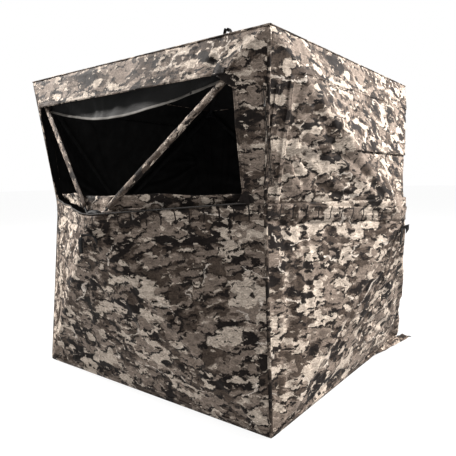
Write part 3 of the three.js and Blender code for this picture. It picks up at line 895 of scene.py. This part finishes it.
def front_window():
    """The net, the dropped curtain and the small patches at the open window."""
    pieces = {}
    foot = resample([(-0.65, 1.380), (-0.38, 1.318), (-0.10, 1.282), (0.22, 1.305), (0.60, 1.372)], 60)
    outline = [(-0.65, 1.405), *map(tuple, foot), (0.60, 1.405)]

    def droop(a, z):
        return 0.006 * noise(a * 7, z * 14, 3) + 0.004 * noise(a * 18, z * 5, 4)

    net = patch("shoot_through_net", 0, outline, NET_DEPTH, NET, NET, droop, 0.008, 0.0008)
    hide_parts("front_window_mesh")
    trim_piece(net, 0)

    def hem_droop(s, c):
        return droop(np.interp(s, along(foot), foot[:, 0]), np.interp(s, along(foot), foot[:, 1]))

    hem = strip("net_hem", 0, foot + [0, 0.004], 0.0055, -HEM_DEPTH, 0.0014, NET_HEM, hem_droop)
    trim_piece(hem, 0)

    a = np.linspace(0.60, -0.61, 60)
    top = np.stack([a, 0.943 + 0.006 * noise(a * 7, 0, 5)], 1)
    bottom = np.stack([a[::-1], sill(a[::-1]) + 0.004], 1)

    def bunched(a, z):
        return 0.007 * noise(a * 2.5, z * 55, 6) + 0.003 * noise(a * 14, z * 30, 7)

    curtain = patch("dropped_curtain", 0, [*top, *bottom], DROPPED_DEPTH, CAMO, LINING, bunched, 0.007)
    curtain, curtain_back = lined_trim(curtain, 0)
    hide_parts("front_window_curtain")
    roll_path = resample([(0.07, 0.866), (0.12, 0.872), (0.18, 0.877), (0.235, 0.882)], 30)
    roll = on_wall(roll_path, 0, -ROLL_DEPTH)
    bundle = tube("curtain_roll", roll, 0.011, CAMO, 12, 0.8, rough=0.22, seed=9)
    trim_piece(bundle, 0)
    corners = []
    for name, outline in (
        ("right_head_gusset", [(0.618, 1.389), (0.545, 1.389), (0.580, 1.360), (0.618, 1.330)]),
        ("left_head_gusset", [(-0.687, 1.389), (-0.683, 1.330), (-0.655, 1.362), (-0.615, 1.389)]),
        ("left_foot_gusset", [(-0.652, 0.906), (-0.600, 0.902), (-0.638, 0.945), (-0.655, 0.990)]),
        ("right_foot_gusset", [(0.618, 0.903), (0.618, 0.965), (0.603, 0.932), (0.580, 0.900)]),
    ):
        gusset = patch(name, 0, outline, GUSSET_DEPTH, CAMO, LINING, None, 0.006)
        corners += lined_trim(gusset, 0)
    pieces["net"] = (net, [hem])
    pieces["curtain"] = (curtain, [curtain_back, bundle, *corners])
    return pieces


def make_door_guard(index=2):
    """A flap behind the door's zip that narrows the slit when the back wall is pushed in."""
    outline = [(0.335, 0.445), (0.640, 0.130), (0.640, 1.402), (0.335, 1.082)]
    hole = door_polygon(GUARD_HOLE_OVERLAP, -GUARD_HINGE_INSET)
    face, back = patch("door_guard", index, outline, GUARD_DEPTH, CAMO, LINING, None, 0.012, hole=hole)
    for piece in (face, back):
        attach(piece, "door_frame")
    return [face, back]


def make_door(index=2):
    outline = door_polygon(DOOR_OVERLAP, -DOOR_HINGE_INSET)
    door, lining = patch("door", index, outline, DOOR_DEPTH, CAMO, LINING, None, 0.010)
    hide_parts("door_panel")
    for piece in (door, lining):
        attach(piece, "door")
    path = straight([(0.602, 0.182), (0.411, 0.450), (0.411, 1.135), (0.602, 1.358)], 0.006)
    tape = strip("door_zip_tape_woven", index, path, 0.0085, 0.0008, 0.0012, ZIP_TAPE)
    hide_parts("door_zip_tape")
    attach(tape, "door_frame")
    teeth = tube("door_zip_teeth", on_wall(path, index, 0.0030), 0.0020, SEAM, 6)
    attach(teeth, "door_frame")
    return door, [lining, tape, teeth, *make_door_guard()]


# ---- rods' sleeves, straps, corners ------------------------------------------------------------------
BALLS = {"upper": (0.714, 0.740, 1.500), "lower": (0.6966, 0.7226, 0.040)}
ROOF_BALL = (0.712, 0.712, 1.528)


def sleeve(name, start, end, out, body, finish, seed):
    """A flat cloth tube over the middle of a rod."""
    share = np.linspace(0.060, 0.965, 48)
    path = np.array(start)[None] * (1 - share[:, None]) + np.array(end)[None] * share[:, None]
    ends = smooth(0.06, 0.09, share) * (1 - smooth(0.94, 0.965, share))
    radius = 0.0125 + 0.0030 * ends
    piece = tube(name, path, radius, finish, 14, 0.42, out, 0.10, seed)
    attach(piece, body)
    return piece


def make_sleeves():
    made = {name: [] for name in (*WALLS, "roof")}
    for index, wall in enumerate(WALLS):
        for row, (ball_a, ball_out, ball_z) in BALLS.items():
            for side, sign in (("left", -1), ("right", 1)):
                reach = math.hypot(ball_a, ball_z - HUB_Z)
                hub_a, hub_z = (ROD_END * v / reach for v in (ball_a, ball_z - HUB_Z))
                ends = np.array([
                    [sign * hub_a, -HUB_LEVEL, HUB_Z + hub_z],
                    [sign * ball_a, -ball_out, ball_z],
                    [0, -1, 0],
                ])
                start, end, out = turn(ends, index)
                shown = wall == "front" and row == "upper"
                rod = f"{wall}_rod_{row}_{side}"
                seed = 5 * index + (2 if row == "upper" else 0) + (1 if side == "left" else 0)
                made[wall].append(
                    sleeve(f"{rod}_sleeve", start, end, out, f"{rod}_body", CAMO if shown else LINING, seed)
                )
    for number, corner in enumerate(CORNERS):
        reach = math.hypot(ROOF_BALL[0], ROOF_BALL[1])
        hub = ROOF_ROD_END * ROOF_BALL[0] / reach
        ends = np.array([[hub, -hub, ROOF_HUB_LEVEL], [ROOF_BALL[0], -ROOF_BALL[1], ROOF_BALL[2]]])
        start, end = turn(ends, number)
        rod = f"roof_rod_{corner}"
        tube_seed = 30 + number
        piece = sleeve(f"{rod}_sleeve", start, end, (0, 0, 1), f"{rod}_body", LINING, tube_seed)
        made["roof"].append(piece)
    return made


def make_straps():
    for index, wall in enumerate(WALLS):
        face = -WALL_CAP
        path = resample([
            (0.056, face - 0.004, 0.745), (0.050, face - 0.006, 0.762), (0.028, face - 0.009, 0.774),
            (0.000, face - 0.010, 0.777), (-0.028, face - 0.010, 0.773), (-0.045, face - 0.009, 0.758),
            (-0.050, face - 0.007, 0.732), (-0.050, face - 0.006, 0.696),
        ], 44)
        share = np.linspace(0, 1, len(path))[:, None]
        arch, leg = smooth(0.15, 0.35, share), smooth(0.52, 0.72, share)
        way = (1 - arch) * np.array([[0.6, -0.3, 0.7]]) + arch * np.array([[0.0, -1.0, 0.35]])
        way = (1 - leg) * way + leg * np.array([[1.0, 0.05, 0.0]])
        strap = ribbon(f"{wall}_strap_webbing", turn(path, index), turn(way, index), 0.0125, 0.0022, WEBBING)
        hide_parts(f"{wall}_pull_strap")
        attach(strap, f"{wall}_hub_body")
    path = resample([
        (-0.024, 0, ROOF_CAP + 0.001), (-0.021, 0, ROOF_CAP + 0.030), (-0.012, 0, ROOF_CAP + 0.052),
        (-0.002, 0, ROOF_CAP + 0.036), (0.008, 0, ROOF_CAP + 0.050), (0.019, 0, ROOF_CAP + 0.034),
        (0.023, 0, ROOF_CAP + 0.001),
    ], 40)
    strap = ribbon("roof_strap_webbing", path, (0.0, 1.0, 0.0), 0.0125, 0.0024, WEBBING)
    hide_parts("roof_pull_strap")
    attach(strap, "roof_hub_body")


def make_corner_seams():
    """A folded binding down each corner edge."""
    seams = []
    z = np.arange(0.004, EAVE_Z - 0.004, 0.012)
    edge = half_width(z)
    reach = np.array([0.0055, 0.0025, 0.0])
    for index, corner in enumerate(CORNERS):
        columns = []
        for inset in reach:
            columns.append(on_wall(np.stack([edge - inset, z], 1), index, 0.0022))
        for inset in reach[1::-1]:
            columns.append(on_wall(np.stack([-edge + inset, z], 1), (index + 1) % 4, 0.0022))
        points = np.stack(columns, 1).reshape(-1, 3)
        trim = np.stack([np.repeat(z, 5), np.tile([-0.0055, -0.0025, 0, 0.0025, 0.0055], len(z))], 1)
        faces = grid_faces(len(z), 5)
        seam = thick_sheet(f"corner_seam_{corner}", points, faces, trim, BINDING, BINDING, 0.0012)
        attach(seam, "shell")
        seams.append(seam)
    return seams


def make_eaves():
    eaves = []
    for index, wall in enumerate(WALLS):
        a = np.linspace(-EAVE, EAVE, 120)
        edge = turn(np.stack([a, np.full(120, -EAVE - 0.001), np.full(120, EAVE_Z)], 1), index)
        piping = tube(f"{wall}_eave_seam", edge, 0.0032, HEM, 8, out=(0, 0, 1), rough=0.15, seed=index)
        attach(piping, "shell")
        eaves.append(piping)
    return eaves


def make_stake_loops():
    for index, corner in enumerate(CORNERS):
        low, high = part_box(f"stake_loop_{corner}")
        centre = (low + high) / 2
        turn_angle = index * math.pi / 2 - math.pi / 4
        t = np.linspace(0, 2 * math.pi, 41)
        ring = np.stack([0.030 * np.cos(t), 0.0165 * np.sin(t), 0.0022 + 0.0010 * np.sin(3 * t)], 1)
        c, s = math.cos(turn_angle), math.sin(turn_angle)
        spin = np.array([[c, s, 0], [-s, c, 0], [0, 0, 1]])
        path = ring @ spin + [centre.x, centre.y, 0.001]
        way = np.stack([np.cos(t), np.sin(t), 0 * t], 1) @ spin
        loop = ribbon(f"{corner}_stake_webbing", path, way, 0.0055, 0.0018, WEBBING)
        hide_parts(f"stake_loop_{corner}")
        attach(loop, "shell")


def make_skirt_tail():
    """A fold of spare cloth that lies on the ground beside the right wall and ends in a black tab."""
    y = np.linspace(0.16, 0.765, 70)
    share = (y - y[0]) / (y[-1] - y[0])
    out = 0.7395 + 0.010 * share + 0.030 * smooth(0.3, 1.0, share) + 0.006 * noise(y * 9, 0, 2)
    half = 0.010 + 0.012 * smooth(0.0, 0.6, share)
    height = 0.012 + 0.010 * (1 - share) + 0.003 * noise(y * 14, 3, 3)
    path = np.stack([out, y, height], 1)
    tail = ribbon("skirt_fold", path, (1.0, 0.0, -0.35), half, 0.0016, CAMO, 6)
    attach(tail, "shell")
    end = [(0.782, 0.742, 0.012), (0.790, 0.762, 0.009), (0.801, 0.778, 0.007), (0.806, 0.792, 0.004)]
    tip = resample(end, 20)
    tab = ribbon("skirt_tab", tip, (1.0, -0.5, 0.0), 0.0095, 0.0024, WEBBING)
    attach(tab, "shell")
    return [tail, tab]


def finish_cad_nodes():
    """The carried-over hard parts get their own procedural finishes."""
    for name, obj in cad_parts.items():
        for words, finish in ((("_rod_",), FIBREGLASS), (("_hub", "corner_"), PLASTIC), (("slider",), ZINC)):
            if any(word in name for word in words):
                for socket in obj.material_slots:
                    socket.material = finish


make_camera()
make_studio()
finish_cad_nodes()
walls, linings = zip(*(make_wall(number) for number in range(4)))
roof, roof_lining = make_roof()
attached = {
    name: [linings[number], belt_pieces(number), *wall_trims(number)] for number, name in enumerate(WALLS)
}
window = front_window()
right_upper = make_curtain("right_upper_curtain", "right_window_upper_curtain", 1, 1.112, 1.407, 0.0017, 2)
right_lower = make_curtain("right_lower_curtain", "right_window_lower_curtain", 1, 0.886, 1.130, 0.0115, 6)
left_curtain = make_curtain("left_curtain", "left_window_curtain", 3, 0.886, 1.407, 0.0017, 4)
door, door_zip = make_door()
sleeves = make_sleeves()
make_straps()
seams = make_corner_seams()
eaves = make_eaves()
make_stake_loops()
attached["right"] += make_skirt_tail()
for name in WALLS:
    attached[name] += sleeves[name]
attached["front"] += seams
